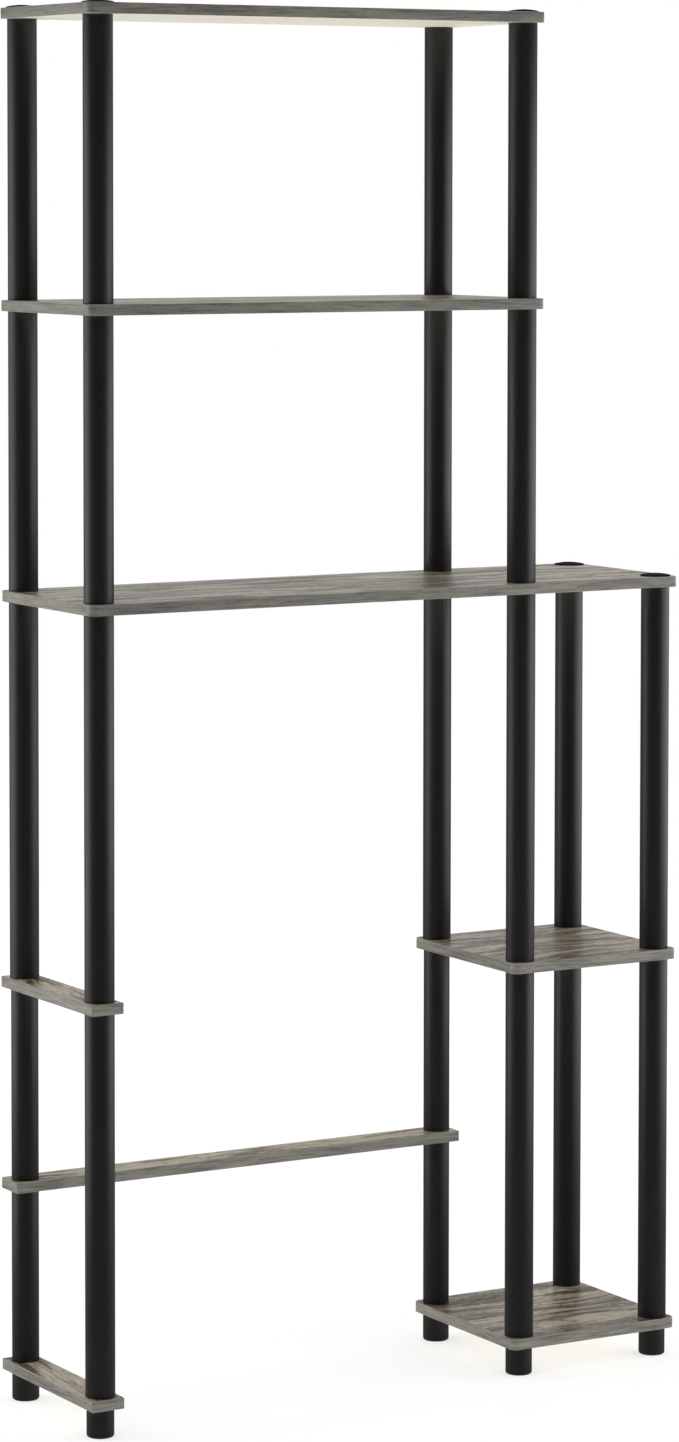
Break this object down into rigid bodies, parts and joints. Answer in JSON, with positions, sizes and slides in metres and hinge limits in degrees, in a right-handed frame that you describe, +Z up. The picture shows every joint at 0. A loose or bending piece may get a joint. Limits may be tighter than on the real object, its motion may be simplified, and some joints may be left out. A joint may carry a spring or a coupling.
{
  "type": "over-the-toilet rack",
  "caption": "Free-standing open rack that straddles a toilet: black round tubes screwed through grey oak boards, with a narrow shelf tower on its right.",
  "frame": {"origin": "on the floor, under the middle of the rack's outline", "axes": "+Z up, +X to the right towards the side tower, -Y to the front"},
  "size_m": [0.814, 0.236, 1.6636],
  "materials": {
    "laminated_board": "satin",
    "black_tube": "satin",
    "black_moulding": "satin"
  },
  "bodies": {
    "root": {"top_shelf": "laminated_board", "second_shelf": "laminated_board", "main_shelf": "laminated_board", "mid_side_shelf": "laminated_board", "low_side_shelf": "laminated_board", "upper_side_strip": "laminated_board", "lower_side_strip": "laminated_board", "rear_brace": "laminated_board", "left_back_tube_1": "black_tube", "left_back_tube_2": "black_tube", "left_back_tube_3": "black_tube", "left_back_tube_4": "black_tube", "left_back_tube_5": "black_tube", "left_front_tube_1": "black_tube", "left_front_tube_2": "black_tube", "left_front_tube_3": "black_tube", "left_front_tube_4": "black_tube", "middle_back_tube_1": "black_tube", "middle_back_tube_2": "black_tube", "middle_back_tube_3": "black_tube", "middle_back_tube_4": "black_tube", "middle_back_tube_5": "black_tube", "middle_front_tube_1": "black_tube", "middle_front_tube_2": "black_tube", "middle_front_tube_3": "black_tube", "middle_front_tube_4": "black_tube", "right_back_tube_1": "black_tube", "right_back_tube_2": "black_tube", "right_front_tube_1": "black_tube", "right_front_tube_2": "black_tube", "left_back_foot": "black_moulding", "left_front_foot": "black_moulding", "middle_back_foot": "black_moulding", "middle_front_foot": "black_moulding", "right_back_foot": "black_moulding", "right_front_foot": "black_moulding", "left_back_cap": "black_moulding", "left_front_cap": "black_moulding", "middle_back_cap": "black_moulding", "middle_front_cap": "black_moulding", "right_back_cap": "black_moulding", "right_front_cap": "black_moulding", "low_level_stud_plugs": "black_moulding", "brace_level_stud_plugs": "black_moulding", "mid_level_stud_plugs": "black_moulding", "main_level_stud_plugs": "black_moulding", "second_level_stud_plugs": "black_moulding", "brace_level_socket_plugs": "black_moulding", "mid_level_socket_plugs": "black_moulding", "main_level_socket_plugs": "black_moulding", "second_level_socket_plugs": "black_moulding", "top_level_socket_plugs": "black_moulding"}
  },
  "joints": []
}
